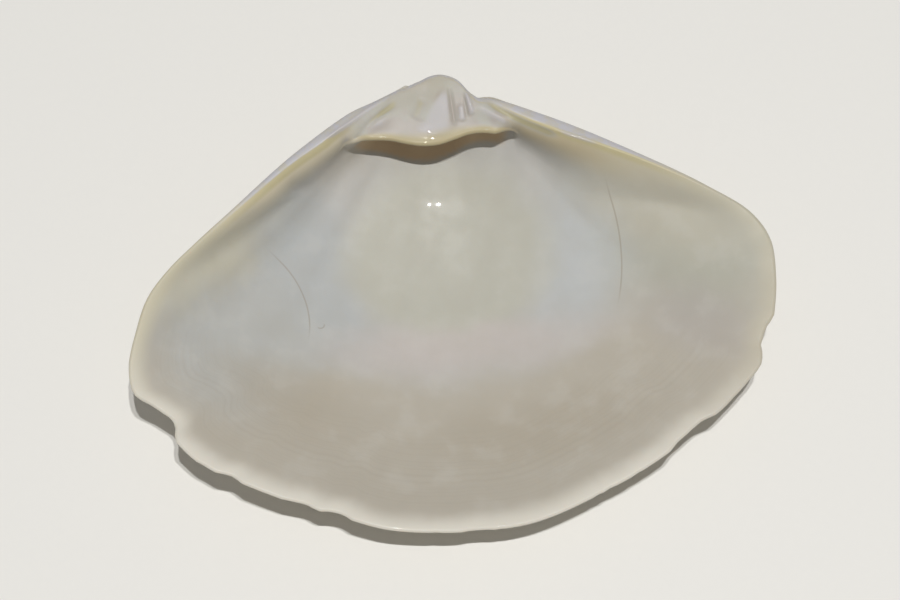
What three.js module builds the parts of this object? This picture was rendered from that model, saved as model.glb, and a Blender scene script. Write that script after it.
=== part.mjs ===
// One valve (half shell) of a surf clam, lying on its rounded outside with the hollow side up.
// Millimetres, +Z up, origin on the surface it rests on, under the middle of its bounding box.
//
// The valve is first drawn in its own frame: the beak at the origin, the hinge line along X, the lower edge
// toward -Y, the rim near the plane z = 0 and the body of the valve below it. A clam grows as a spiral: each
// earlier rim is today's rim shrunk toward the beak and turned about the hinge line, and all of them together
// are the outside. The finished mesh is then laid down in the pose in which it rests.

import * as THREE from 'three';
import { mergeVertices } from 'three/addons/utils/BufferGeometryUtils.js';

const { lerp, smoothstep, degToRad, radToDeg } = THREE.MathUtils;

// ---- Driving dimensions -----------------------------------------------------------------------------------

// The rim seen square on, counter-clockwise from the long slope beside the beak.
const RIM_OUTLINE = [
  [5.2, -1.85], [8.6, -3.0], [16.3, -5.7], [24.3, -9.4], [28.3, -11.6], [31.7, -13.9], [33.2, -16.5],
  [33.4, -20.2], [33.1, -23.7], [32.4, -26.9], [31.5, -29.4], [28.5, -33.0], [24.9, -36.2], [20.1, -39.8],
  [14.7, -42.9], [9.4, -45.3], [5.4, -46.2], [0.5, -46.6], [-5.5, -46.4], [-9.2, -45.5], [-14.5, -44.0],
  [-18.7, -42.5], [-24.1, -40.1], [-26.8, -37.7], [-30.6, -33.8], [-31.4, -30.6], [-30.9, -27.2],
  [-29.9, -23.6], [-27.9, -20.6], [-25.4, -17.9], [-21.7, -14.1], [-17.0, -8.8], [-11.4, -3.6], [-7.0, -0.9],
  [-4.2, 0.0], [-1.8, 0.0], [0.0, -0.4], [1.3, -1.2], [2.4, -1.6], [3.3, -1.85], [4.2, -1.9],
];
const CENTRE = new THREE.Vector2(0.5, -18); // the middle of the hollow, from which the walls are measured
const COIL = 0.72; // radians that the rim turns while it grows e times larger
const BEAK_LEAN = -1.1; // the beak leans to this side of the hinge teeth
const BEAK_PRESSING = [ // [x, half width, how far the shell about the beak is pressed toward the body there]
  [-6.2, 1.4, -0.32], [-4.6, 1.2, -0.28], [-3.4, 0.7, 0.18], [-3.2, 1.2, 0.6], [-1.6, 1.5, 0.3],
  [0.4, 1.5, 0.22],
  [2.7, 1.3, 1.29], [4.6, 1.3, 0.2], // the ligament's notch
];

// Wall and rim
const WALL = 0.8; // thickness near the rim
const FLOOR_EXTRA = 0.45; // the middle of the floor is thicker by this
const HINGE_EXTRA = 1.3; // and the shell behind the hinge plate by this
// Azimuths are seen from CENTRE in degrees, 0 toward +X and 90 toward the beak.
const LIP = [ // [azimuth, how far the crest stands in from the outer edge, how far the edge falls below it]
  [0, 0.35, 0.22], [15, 0.6, 0.5], [30, 1.0, 0.8], [45, 1.5, 0.8], [62, 1.5, 0.8], [72, 1.1, 0.9],
  [81, 0.9, 1.4], [89, 0.8, 2.1], [98, 0.75, 2.3], [106, 0.75, 2.0], [113, 0.8, 1.4], [121, 1.0, 0.8],
  [140, 1.1, 0.8], [155, 0.7, 0.6], [172, 0.35, 0.22], [270, 0.3, 0.22],
];
const MARGIN_SLOPE = [0.2, 0.7]; // radians that the margin falls inward from its crest: below, on the slopes

// Hinge plate: a shelf inside the beak
const PLATE_EDGE = [ // its free edge, from the short side to the long side
  [-14.6, -10.0], [-12.4, -8.4], [-10.2, -7.2], [-8.2, -6.4], [-5.9, -6.3], [-4.2, -6.6], [-2.6, -6.8],
  [-0.9, -6.65], [0.9, -6.0], [2.2, -5.5], [3.7, -5.3], [5.4, -5.55], [7.5, -6.3], [10.4, -7.7],
];
const PLATE_ENDS = [63, 71, 124, 137]; // azimuths: it starts to stand clear, is clear, is clear, has faded
const PLATE_SINK = 0.75; // the plate lies this far below the crest at its free edge
const EDGE_RADIUS = 0.36; // rounding of the free edge
const WALL_TOP = { lower: 1.5, upper: 6.5, plate: 2.9 }; // depth at which the wall turns into margin or plate

// Relief of the hinge plate: [path, half width at its start and end, height]
const HINGE_RELIEF = [
  [[[0.1, -0.4], [-1.7, -6.6]], [0.3, 2.3], 0.15], // spoon that carries the inner ligament
  [[[0.08, -0.5], [0.35, -2.4], [0.8, -4.9]], [0.22, 0.28], -0.27], // slot beside it
  [[[-2.3, -1.9], [-3.4, -4.3]], [0.5, 0.8], -0.15], // hollow on its other side
  [[[1.25, -2.4], [1.5, -4.4]], [0.28, 0.36], 0.15], // short tooth
  [[[1.7, -1.1], [2.55, -3.8]], [0.18, 0.32], 0.22], // second tooth
  [[[2.6, -2.5], [4.1, -3.4], [6.4, -4.6]], [0.6, 0.35], 0.13], // arm on the long side
  [[[-5.3, -3.7], [-8.7, -5.4], [-11.2, -7.1]], [0.7, 0.4], 0.15], // arm on the short side
  [[[2.4, -1.6], [5.5, -3.3], [8.5, -4.6], [12.0, -6.0]], [0.5, 0.35], -0.24], // groove, long side
  [[[-4.9, -2.3], [-7.4, -4.3], [-8.8, -5.6], [-10.2, -6.8]], [0.4, 0.42], -0.26], // groove, short side
];

// Broken places along the rim: [azimuth of the deepest point, degrees before it, degrees after it, depth]
const CHIPS = [
  [212.5, 6.5, 3.4, 1.25], [227.5, 2.5, 1.6, 0.3], [241.0, 4.0, 3.0, 0.25], [247.7, 3.5, 3.0, 0.42],
  [275.0, 3.0, 4.0, 0.2], [325.0, 8.0, 2.6, 0.44], [345.5, 5.0, 3.2, 0.5],
];
const CHIP_FALL = 0.6; // a broken edge is lower by this share of its depth

// Resting pose
const REST_PITCH = degToRad(7.5); // the lower edge dips
const REST_ROLL = degToRad(2.2); // the long end dips
const WORN_DEPTH = 0.12; // the lowest point is worn flat by this much

// Mesh
const AROUND = 88;
const HINGE_AZIMUTH = degToRad(100);
const HINGE_CROWDING = 0.5; // 0 spaces the columns evenly, 1 crowds them all at the hinge
const MARGIN_CROWDING = 0.55; // below 1, rows of the margin crowd toward its crest
const ROWS = { floor: 11, underside: 4, edge: 4, shelf: 12, lip: 4, outside: 20 };

// ---- Curves round the valve -------------------------------------------------------------------------------

// The distance from CENTRE to a curve, looked up by azimuth
function polarTable(points, closed) {
  const corners = points.map(([x, y]) => new THREE.Vector3(x, y, 0));
  return new THREE.CatmullRomCurve3(corners, closed, 'centripetal').getPoints(900).map((p) => {
    const azimuth = Math.atan2(p.y - CENTRE.y, p.x - CENTRE.x);
    return [(azimuth + 2 * Math.PI) % (2 * Math.PI), Math.hypot(p.x - CENTRE.x, p.y - CENTRE.y)];
  }).sort((a, b) => a[0] - b[0]);
}

// The value in a table's column at a place on a circle
function lookUp(table, at, period, column = 1) {
  const wrapped = ((at % period) + period) % period;
  let low = 0;
  let high = table.length - 1;
  if (wrapped < table[0][0] || wrapped >= table[high][0]) {
    const gap = table[0][0] + period - table[high][0];
    const past = (wrapped - table[high][0] + period) % period;
    return lerp(table[high][column], table[0][column], gap ? past / gap : 0);
  }
  while (high - low > 1) {
    const middle = (low + high) >> 1;
    if (table[middle][0] <= wrapped) low = middle;
    else high = middle;
  }
  const share = (wrapped - table[low][0]) / (table[high][0] - table[low][0]);
  return lerp(table[low][column], table[high][column], share);
}

const rimTable = polarTable(RIM_OUTLINE, true);
const plateTable = polarTable(PLATE_EDGE, false);

// 1 along the upper slopes, 0 along the lower edge
function upperShare(azimuth) {
  return smoothstep(Math.sin(azimuth), 0.1, 0.55);
}

// 1 where the hinge plate stands clear of the wall
function plateShare(azimuth) {
  const degrees = radToDeg(azimuth);
  const [start, clear, stillClear, end] = PLATE_ENDS;
  return smoothstep(degrees, start, clear) * (1 - smoothstep(degrees, stillClear, end));
}

// Inset of the crest and drop of the edge, averaged over a few degrees so that the lip is smooth
function lipSize(azimuth) {
  const reach = [-5, -2.5, 0, 2.5, 5];
  return [1, 2].map((column) => (
    reach.reduce((sum, step) => sum + lookUp(LIP, radToDeg(azimuth) + step, 360, column), 0) / reach.length
  ));
}

function chipDepth(azimuth) {
  const degrees = radToDeg(azimuth);
  return CHIPS.reduce((sum, [deepest, before, after, depth]) => {
    const away = (degrees - deepest) / (degrees < deepest ? -before : after);
    return sum + (away < 1 ? depth * (1 - away ** 2) : 0);
  }, 0);
}

// ---- The grown outside ------------------------------------------------------------------------------------

// Positive outside the valve's outer surface, negative inside, about millimetres near the rim
function beyondOutside(x, y, z) {
  const pressed = BEAK_PRESSING.reduce((sum, [at, halfWidth, depth]) => (
    sum + depth * Math.exp(-(((x - at) / halfWidth) ** 2))
  ), 0);
  const unpressed = y + pressed * smoothstep(y, -6, -0.5);
  const turned = Math.atan2(Math.max(-z, 0), -unpressed);
  const size = Math.exp(-turned / COIL);
  const lean = BEAK_LEAN * (1 - size);
  const rimX = (x - lean) / size - CENTRE.x;
  const rimY = -Math.hypot(unpressed, z) / size - CENTRE.y;
  return (Math.hypot(rimX, rimY) - lookUp(rimTable, Math.atan2(rimY, rimX), 2 * Math.PI)) * size;
}

function alongRay(azimuth, dip, distance) {
  return [
    CENTRE.x + distance * Math.cos(dip) * Math.cos(azimuth),
    CENTRE.y + distance * Math.cos(dip) * Math.sin(azimuth),
    -distance * Math.sin(dip),
  ];
}

// Distance from CENTRE to the outside along a ray that dips below the rim plane
function outsideDistance(azimuth, dip) {
  let near = 0.5;
  let far = 45;
  for (let i = 0; i < 34; i += 1) {
    const middle = (near + far) / 2;
    if (beyondOutside(...alongRay(azimuth, dip, middle)) > 0) far = middle;
    else near = middle;
  }
  return near;
}

// Distance to the inside: the wall is measured square to the outside, and the ray may cross it at a slant
function insideDistance(azimuth, dip) {
  const distance = outsideDistance(azimuth, dip);
  const point = alongRay(azimuth, dip, distance);
  const step = 0.05;
  const slope = [0, 1, 2].map((axis) => {
    const ahead = point.map((value, i) => value + (i === axis ? step : 0));
    const behind = point.map((value, i) => value - (i === axis ? step : 0));
    return beyondOutside(...ahead) - beyondOutside(...behind);
  });
  const ray = alongRay(azimuth, dip, 1).map((value, i) => value - [CENTRE.x, CENTRE.y, 0][i]);
  const square = ray.reduce((sum, value, i) => sum + value * slope[i], 0) / Math.hypot(...slope);
  const nearPlate = plateShare(azimuth) * (1 - smoothstep(dip, 0.35, 0.95));
  const facing = lerp(Math.max(square, 0.45), 0.9, nearPlate);
  const thickness = WALL + FLOOR_EXTRA * smoothstep(dip, 0.1, 1.2)
    + HINGE_EXTRA * nearPlate * Math.exp(point[2] / 4);
  return distance - thickness / facing;
}

// The dip at which the outside lies a given depth below the rim plane
function dipAtDepth(azimuth, depth) {
  let low = 0;
  let high = 1.2;
  for (let i = 0; i < 30; i += 1) {
    const middle = (low + high) / 2;
    if (outsideDistance(azimuth, middle) * Math.sin(middle) < depth) low = middle;
    else high = middle;
  }
  return low;
}

// ---- Cross-section at one azimuth -------------------------------------------------------------------------
//
// Points (distance from CENTRE, height), from the floor over the rim to the middle of the outside

// 1 along a line of points, fading across its half width and toward its ends
function nearPath(x, y, path, halfWidths) {
  const spans = path.slice(1).map(([endX, endY], i) => {
    const [startX, startY] = path[i];
    const length = Math.hypot(endX - startX, endY - startY);
    const along = ((x - startX) * (endX - startX) + (y - startY) * (endY - startY)) / length ** 2;
    const at = THREE.MathUtils.clamp(along, 0, 1);
    return { length, at, away: Math.hypot(x - lerp(startX, endX, at), y - lerp(startY, endY, at)) };
  });
  const total = spans.reduce((sum, { length }) => sum + length, 0);
  const nearest = spans.reduce((best, span, i) => (span.away < spans[best].away ? i : best), 0);
  const before = spans.slice(0, nearest).reduce((sum, { length }) => sum + length, 0);
  const share = (before + spans[nearest].at * spans[nearest].length) / total;
  const ends = smoothstep(share, 0, 0.3) * (1 - smoothstep(share, 0.8, 1));
  return ends * Math.exp(-((spans[nearest].away / lerp(...halfWidths, share)) ** 2));
}

function reliefAt(x, y) {
  return HINGE_RELIEF.reduce((sum, [path, halfWidths, height]) => (
    sum + height * nearPath(x, y, path, halfWidths)
  ), 0);
}

// Steps from one number toward another, without the last
function steps(count, from, to, power = 1) {
  return Array.from({ length: count }, (_, i) => lerp(from, to, (i / count) ** power));
}

function section(azimuth) {
  const upper = upperShare(azimuth);
  const plate = plateShare(azimuth);
  const crestHeight = -CHIP_FALL * chipDepth(azimuth);
  const [inset, drop] = lipSize(azimuth);
  const edgeDip = dipAtDepth(azimuth, drop - crestHeight);
  const edge = outsideDistance(azimuth, edgeDip) * Math.cos(edgeDip);
  const crest = edge - inset;

  // the hollow's floor and wall
  const wallTop = lerp(lerp(WALL_TOP.lower, WALL_TOP.upper, upper), WALL_TOP.plate, plate);
  const wallDip = dipAtDepth(azimuth, wallTop - crestHeight);
  const inside = (dip) => {
    const distance = insideDistance(azimuth, dip);
    return new THREE.Vector2(distance * Math.cos(dip), -distance * Math.sin(dip));
  };
  const floor = steps(ROWS.floor, 0, 1).map((share) => (
    inside(lerp(Math.PI / 2, wallDip, (share + 1 / ROWS.floor) ** 0.85))
  ));
  const wallEnd = floor[floor.length - 1];

  // where there is a plate: its underside, its free edge and its top
  const freeEdge = lookUp(plateTable, azimuth, 2 * Math.PI);
  const middle = new THREE.Vector2(freeEdge + EDGE_RADIUS, crestHeight - PLATE_SINK - EDGE_RADIUS);
  const under = steps(ROWS.underside, 0, 1).slice(1).map((share) => new THREE.Vector2(
    lerp(wallEnd.x, middle.x, share), lerp(wallEnd.y, middle.y - EDGE_RADIUS, share ** 0.7),
  ));
  const nose = steps(ROWS.edge, Math.PI / 2, -Math.PI / 2).map((angle) => (
    new THREE.Vector2(-Math.cos(angle), -Math.sin(angle)).multiplyScalar(EDGE_RADIUS).add(middle)
  ));
  const top = steps(ROWS.shelf, 0, 1).map((share) => new THREE.Vector2(
    lerp(middle.x, crest, share), crestHeight - PLATE_SINK * (1 - smoothstep(share, 0, 1)),
  ));
  const shelf = [...under, ...nose, ...top];

  // elsewhere: one soft curve from the wall up to the crest
  const slope = lerp(...MARGIN_SLOPE, upper);
  const crestPoint = new THREE.Vector2(crest, crestHeight);
  const reach = wallEnd.distanceTo(crestPoint) / 3;
  const wallWay = wallEnd.clone().sub(inside(wallDip + 0.05)).setLength(reach);
  const margin = new THREE.CubicBezierCurve(
    wallEnd, wallEnd.clone().add(wallWay),
    new THREE.Vector2(crest - Math.cos(slope) * reach, crestHeight - Math.sin(slope) * reach), crestPoint,
  );
  const inner = shelf.map((point, i) => (
    margin.getPoint(((i + 1) / (shelf.length + 1)) ** MARGIN_CROWDING).lerp(point, plate)
  ));

  // the relief of the hinge lies on the plate's top
  inner.slice(-ROWS.shelf).forEach((point, i) => {
    const [x, y] = alongRay(azimuth, 0, point.x);
    point.y += reliefAt(x, y) * smoothstep(i / ROWS.shelf, 0, 0.12);
  });

  const lip = steps(ROWS.lip, 0, Math.PI / 2).map((angle) => new THREE.Vector2(
    lerp(crest, edge, Math.sin(angle)), crestHeight - drop * (1 - Math.cos(angle)),
  ));
  const outside = steps(ROWS.outside, edgeDip, Math.PI / 2, 1.25).map((dip) => {
    const distance = outsideDistance(azimuth, dip);
    return new THREE.Vector2(distance * Math.cos(dip), -distance * Math.sin(dip));
  });
  return [...floor, ...inner, ...lip, ...outside];
}

// ---- Mesh: a ball whose upper half is pressed down into the hollow ----------------------------------------

function valveGeometry() {
  const rows = Object.values(ROWS).reduce((sum, count) => sum + count, 0);
  const ball = new THREE.SphereGeometry(1, AROUND, rows);
  const floorTop = new THREE.Vector2(0, -insideDistance(0, Math.PI / 2));
  const floorBottom = new THREE.Vector2(0, -outsideDistance(0, Math.PI / 2));
  const sections = steps(AROUND, 0, 2 * Math.PI).map((turn) => {
    const azimuth = (HINGE_AZIMUTH + turn - HINGE_CROWDING * Math.sin(turn)) % (2 * Math.PI);
    return { azimuth, points: [floorTop, ...section(azimuth), floorBottom] };
  });
  const position = ball.getAttribute('position');
  for (let i = 0; i < position.count; i += 1) {
    const row = Math.floor(i / (AROUND + 1));
    const { azimuth, points } = sections[(i % (AROUND + 1)) % AROUND];
    const { x: distance, y: height } = points[row];
    position.setXYZ(i, ...alongRay(azimuth, 0, distance).slice(0, 2), height);
  }
  ball.deleteAttribute('normal');
  ball.deleteAttribute('uv');
  return mergeVertices(ball, 1e-4);
}

// Turned into its resting pose, set over the origin and worn flat at the point that it stands on
function layDown(geometry) {
  geometry.applyMatrix4(new THREE.Matrix4().makeRotationFromEuler(new THREE.Euler(REST_PITCH, REST_ROLL, 0)));
  geometry.computeBoundingBox();
  const { min, max } = geometry.boundingBox;
  geometry.translate(-(min.x + max.x) / 2, -(min.y + max.y) / 2, -min.z - WORN_DEPTH);
  const position = geometry.getAttribute('position');
  for (let i = 0; i < position.count; i += 1) position.setZ(i, Math.max(position.getZ(i), 0));
  return geometry;
}

const shell = new THREE.MeshStandardMaterial({ color: 0xb9b5a8, roughness: 0.35, metalness: 0 });
const valve = new THREE.Mesh(layDown(valveGeometry()), shell);
valve.name = 'valve';

const object = new THREE.Group();
object.add(valve);

export default object;
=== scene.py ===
"""One empty valve (half shell) of a surf clam, lying hollow side up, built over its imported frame."""

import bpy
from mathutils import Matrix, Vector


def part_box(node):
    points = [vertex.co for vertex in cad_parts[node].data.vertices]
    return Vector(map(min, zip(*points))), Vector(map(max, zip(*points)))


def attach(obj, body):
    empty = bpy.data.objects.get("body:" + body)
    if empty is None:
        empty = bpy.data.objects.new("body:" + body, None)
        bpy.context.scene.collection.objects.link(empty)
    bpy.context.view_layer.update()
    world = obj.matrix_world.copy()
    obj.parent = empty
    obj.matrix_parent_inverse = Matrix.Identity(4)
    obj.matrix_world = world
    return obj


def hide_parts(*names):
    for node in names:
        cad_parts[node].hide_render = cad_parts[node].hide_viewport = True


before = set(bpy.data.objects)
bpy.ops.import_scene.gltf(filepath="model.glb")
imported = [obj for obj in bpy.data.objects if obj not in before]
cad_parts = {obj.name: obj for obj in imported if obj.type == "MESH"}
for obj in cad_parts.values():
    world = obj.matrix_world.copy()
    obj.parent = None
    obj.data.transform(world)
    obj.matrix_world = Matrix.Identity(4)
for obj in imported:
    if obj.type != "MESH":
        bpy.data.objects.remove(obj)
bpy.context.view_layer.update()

from types import SimpleNamespace

import bmesh
import bpy
import numpy as np
from mathutils import Euler, Vector

bl_info = {
    "name": "Surf Clam Valve",
    "version": (1, 0, 0),
    "blender": (4, 5, 0),
    "location": "3D View > Sidebar > Clam",
    "description": "Builds one valve of a surf clam with its hinge plate and chipped rim, and a stage for it",
    "category": "Add Mesh",
}

MM = 0.001
FLOOR_GAP = 0.02 * MM  # keeps the floor clear of the worn flat that stands on it
FULL_TURN = 2 * np.pi
VIEW_TARGET = Vector((-0.55, 0.5, 8.0)) * MM  # what the camera and the lamps look at
SENSOR_WIDTH = 36  # the camera's, in millimetres

# ---- Form of the valve, in millimetres -------------------------------------------------------------------
#
# The valve is drawn in its own frame: the beak at the origin, the hinge line along X, the lower edge toward
# -Y, the rim near z = 0 and the body below it. A clam grows as a spiral: each earlier rim is today's rim
# shrunk toward the beak and turned about the hinge line, and all of them together are the outside.

# The rim seen square on, counter-clockwise from the long slope beside the beak
RIM_OUTLINE = [
    (5.2, -1.85), (8.6, -3.0), (16.3, -5.7), (24.3, -9.4), (28.3, -11.6), (31.7, -13.9), (33.2, -16.5),
    (33.4, -20.2), (33.1, -23.7), (32.4, -26.9), (31.5, -29.4), (28.5, -33.0), (24.9, -36.2), (20.1, -39.8),
    (14.7, -42.9), (9.4, -45.3), (5.4, -46.2), (0.5, -46.6), (-5.5, -46.4), (-9.2, -45.5), (-14.5, -44.0),
    (-18.7, -42.5), (-24.1, -40.1), (-26.8, -37.7), (-30.6, -33.8), (-31.4, -30.6), (-30.9, -27.2),
    (-29.9, -23.6), (-27.9, -20.6), (-25.4, -17.9), (-21.7, -14.1), (-17.0, -8.8), (-11.4, -3.6),
    (-7.0, -0.9), (-4.2, 0.0), (-1.8, 0.0), (0.0, -0.4), (1.3, -1.2), (2.4, -1.6), (3.3, -1.85), (4.2, -1.9),
]
CENTRE = np.array((0.5, -18.0))  # the middle of the hollow, from which the walls are measured
COIL = 0.72  # radians that the rim turns while it grows e times larger
BEAK_LEAN = -1.1  # the beak leans to this side of the hinge teeth
BEAK_PRESSING = [  # (x, half width, how far the shell about the beak is pressed toward the body there)
    (-6.2, 1.4, -0.32), (-4.6, 1.2, -0.28), (-3.4, 0.7, 0.18), (-3.2, 1.2, 0.6), (-1.6, 1.5, 0.3),
    (0.4, 1.5, 0.22),
    (2.7, 1.3, 1.29), (4.6, 1.3, 0.2),  # the ligament's notch
]

# Wall and rim
FLOOR_EXTRA = 0.45  # the middle of the floor is thicker than the wall by this
HINGE_EXTRA = 1.3  # and the shell behind the hinge plate by this
# Azimuths are seen from CENTRE in degrees, 0 toward +X and 90 toward the beak.
LIP = [  # (azimuth, how far the crest stands in from the outer edge, how far the edge falls below it)
    (0, 0.35, 0.22), (15, 0.6, 0.5), (30, 1.0, 0.8), (45, 1.5, 0.8), (62, 1.5, 0.8), (72, 1.1, 0.9),
    (81, 0.9, 1.4), (89, 0.8, 2.1), (98, 0.75, 2.3), (106, 0.75, 2.0), (113, 0.8, 1.4), (121, 1.0, 0.8),
    (140, 1.1, 0.8), (155, 0.7, 0.6), (172, 0.35, 0.22), (270, 0.3, 0.22),
]
MARGIN_SLOPE = 0.2, 0.7  # radians that the margin falls inward from the crest: lower edge, upper slopes
UMBO_STEP = 105, 5  # azimuth at which the umbo stands out from the short slope, and how wide that step is
UMBO_EASING = 3.0  # the rim is averaged over this many degrees to either side there

# Hinge plate: a shelf inside the beak
PLATE_EDGE = [  # its free edge, from the short side to the long side
    (-14.6, -10.0), (-12.4, -8.4), (-10.2, -7.2), (-8.2, -6.4), (-5.9, -6.3), (-4.2, -6.6), (-2.6, -6.8),
    (-0.9, -6.65), (0.9, -6.0), (2.2, -5.5), (3.7, -5.3), (5.4, -5.55), (7.5, -6.3), (10.4, -7.7),
]
PLATE_ENDS = 60, 72, 124, 137  # azimuths: the free edge starts to stand clear, is clear, is clear, has faded
PLATE_SINK = 0.75  # the plate lies this far below the crest at its free edge
EDGE_RADIUS = 0.36  # rounding of the free edge
WALL_TOP = 1.5, 6.5, 2.9  # depth at which the wall ends: lower edge, upper slopes, below the plate

# Relief of the hinge plate: (path, half width at its start and end, height, squareness of its sides)
HINGE_RELIEF = [
    ([(0.1, -0.4), (-1.7, -6.6)], (0.25, 2.3), 0.15, 3.0),  # spoon that carries the inner ligament
    ([(0.08, -0.5), (0.35, -2.4), (0.8, -4.9)], (0.2, 0.26), -0.27, 2.0),  # slot beside it
    ([(-2.3, -1.9), (-3.4, -4.3)], (0.5, 0.8), -0.15, 2.0),  # hollow on its other side
    ([(1.25, -2.4), (1.5, -4.4)], (0.26, 0.36), 0.15, 3.0),  # short tooth
    ([(1.55, -1.7), (2.05, -4.0)], (0.1, 0.14), -0.17, 2.0),  # gap between the teeth
    ([(1.7, -1.1), (2.55, -3.8)], (0.16, 0.32), 0.22, 2.0),  # second tooth
    ([(2.6, -2.5), (4.1, -3.4), (6.4, -4.6)], (0.6, 0.35), 0.13, 2.0),  # arm on the long side
    ([(-5.3, -3.7), (-8.7, -5.4), (-11.2, -7.1)], (0.7, 0.4), 0.15, 2.0),  # arm on the short side
    ([(2.4, -1.6), (5.5, -3.3), (8.5, -4.6), (12.0, -6.0)], (0.5, 0.35), -0.24, 2.0),  # groove, long side
    ([(-0.7, -0.9), (-3.2, -1.7), (-6.6, -2.9)], (0.7, 1.2), -0.12, 2.0),  # trough beside the beak
    ([(-4.9, -2.3), (-7.4, -4.3), (-8.8, -5.6), (-10.2, -6.8)], (0.4, 0.42), -0.26, 2.0),  # and short side
    ([(4.7, -2.5), (7.0, -3.5), (11.1, -5.3), (16.4, -7.0)], (0.3, 0.25), 0.14, 2.0),  # ridge, long slope
    ([(-6.0, -1.9), (-8.2, -3.5), (-10.2, -5.1), (-12.8, -7.0)], (0.3, 0.25), 0.2, 2.0),  # ridge, short slope
]

# Broken places along the rim: (azimuth of the deepest point, degrees before it, degrees after it, depth)
CHIPS = [
    (212.5, 6.5, 3.4, 1.25), (227.5, 2.5, 1.6, 0.3), (241.0, 4.0, 3.0, 0.25), (247.7, 3.5, 3.0, 0.42),
    (275.0, 3.0, 4.0, 0.2), (325.0, 8.0, 2.6, 0.44), (345.5, 5.0, 3.2, 0.5),
]
NIBBLES = 34  # small broken places between them
NIBBLE_DEPTH = 0.09
CHIP_FALL = 0.6  # a broken edge is lower by this share of its depth

# Growth lines of the outside, as (rim-to-beak distance on the day that growth halted, depth of the check)
GROWTH_HALTS = [
    (9.0, 0.05), (15.5, 0.08), (22.5, 0.1), (29.0, 0.12), (34.5, 0.13), (39.0, 0.12), (42.3, 0.1),
    (44.4, 0.07),
]
HALT_HALF_WIDTH = 0.45
GROWTH_WAVE = 1.9  # spacing of the low waves between them
GROWTH_WAVE_HEIGHT = 0.03
FULL_GROWN = 46.0

REST_TILT = Euler((np.radians(7.5), np.radians(2.2), 0.0))  # the lower edge dips, and the long end
WORN_DEPTH = 0.12  # the point that it stands on is worn flat by this much

# Mesh
AROUND = 420
HINGE_AZIMUTH = np.radians(100)
HINGE_CROWDING = 0.5  # 0 spaces the columns evenly, 1 crowds them all at the hinge
MARGIN_CROWDING = 0.55  # below 1, rows of the margin crowd toward its crest
ROWS = {"floor": 56, "underside": 8, "edge": 10, "shelf": 52, "lip": 12, "outside": 98}


def smoothstep(value, low, high):
    share = np.clip((value - low) / (high - low), 0.0, 1.0)
    return share * share * (3 - 2 * share)


def lerp(low, high, share):
    return low + (high - low) * share


def smooth_curve(points, closed=False, per_span=24):
    """Points along the centripetal Catmull-Rom curve through the given points."""
    points = np.asarray(points, float)
    if closed:
        padded = np.vstack([points[-1], points, points[:2]])
    else:
        padded = np.vstack([2 * points[0] - points[1], points, 2 * points[-1] - points[-2]])
    t = np.linspace(0, 1, per_span, endpoint=False)[:, None]
    spans = []
    for a, b, c, d in zip(padded[:-3], padded[1:-2], padded[2:-1], padded[3:]):
        before, within, after = (np.linalg.norm(q - p) ** 0.5 for p, q in ((a, b), (b, c), (c, d)))
        leaving = ((b - a) / before - (c - a) / (before + within) + (c - b) / within) * within
        arriving = ((c - b) / within - (d - b) / (within + after) + (d - c) / after) * within
        spans.append(
            (2 * t**3 - 3 * t**2 + 1) * b + (t**3 - 2 * t**2 + t) * leaving
            + (3 * t**2 - 2 * t**3) * c + (t**3 - t**2) * arriving
        )
    return np.vstack(spans)


def polar_table(curve):
    """(azimuths, distances) of a curve seen from CENTRE, sorted by azimuth."""
    away = curve - CENTRE
    azimuth = np.arctan2(away[:, 1], away[:, 0]) % FULL_TURN
    order = np.argsort(azimuth)
    return azimuth[order], np.hypot(*away.T)[order]


RIM_TABLE = polar_table(smooth_curve(RIM_OUTLINE, closed=True))
PLATE_TABLE = polar_table(smooth_curve(PLATE_EDGE))


def rim_distance(azimuth):
    return np.interp(azimuth, *RIM_TABLE, period=FULL_TURN)


def upper_share(azimuth):
    """1 along the upper slopes, 0 along the lower edge."""
    return smoothstep(np.sin(azimuth), 0.1, 0.55)


def plate_share(azimuth):
    """1 where the hinge plate stands clear of the wall."""
    degrees = np.degrees(azimuth)
    rise = smoothstep(degrees, PLATE_ENDS[0], PLATE_ENDS[1])
    return rise * (1 - smoothstep(degrees, PLATE_ENDS[2], PLATE_ENDS[3]))


def lip_size(azimuth):
    """(inset of the crest, drop of the edge), averaged over a few degrees so that the lip is smooth."""
    at, *sizes = zip(*LIP)
    reach = np.radians((-5, -2.5, 0, 2.5, 5))[:, None]
    return [np.interp(np.degrees(azimuth + reach), at, size, period=360).mean(axis=0) for size in sizes]


def chip_depth(azimuth):
    """How much of the rim is broken away."""
    degrees = np.degrees(azimuth)
    depth = np.zeros_like(degrees)
    for deepest, before, after, most in CHIPS:
        away = (degrees - deepest) / np.where(degrees < deepest, -before, after)
        depth += np.where(away < 1, most * (1 - np.minimum(away, 1) ** 2), 0)
    random = np.random.default_rng(12)
    for _ in range(NIBBLES):
        at, width = random.uniform(196, 352), random.uniform(0.4, 1.4)
        away = np.minimum(np.abs(degrees - at) / width, 1)
        depth += NIBBLE_DEPTH * random.uniform(0.2, 1) * (1 - away**1.5)
    return depth


def growth_size(y, z):
    """The size of the valve, as a share of today's, when this point of the outside was its rim."""
    return np.exp(-np.arctan2(np.maximum(-z, 0), -y) / COIL)


def beyond_outside(x, y, z):
    """Positive outside the outer surface, negative within it, about millimetres near the rim."""
    pressed = sum(depth * np.exp(-(((x - at) / width) ** 2)) for at, width, depth in BEAK_PRESSING)
    y = y + pressed * smoothstep(y, -6, -0.5)
    size = growth_size(y, z)
    rim_x = (x - BEAK_LEAN * (1 - size)) / size - CENTRE[0]
    rim_y = -np.hypot(y, z) / size - CENTRE[1]
    return (np.hypot(rim_x, rim_y) - rim_distance(np.arctan2(rim_y, rim_x))) * size


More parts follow.
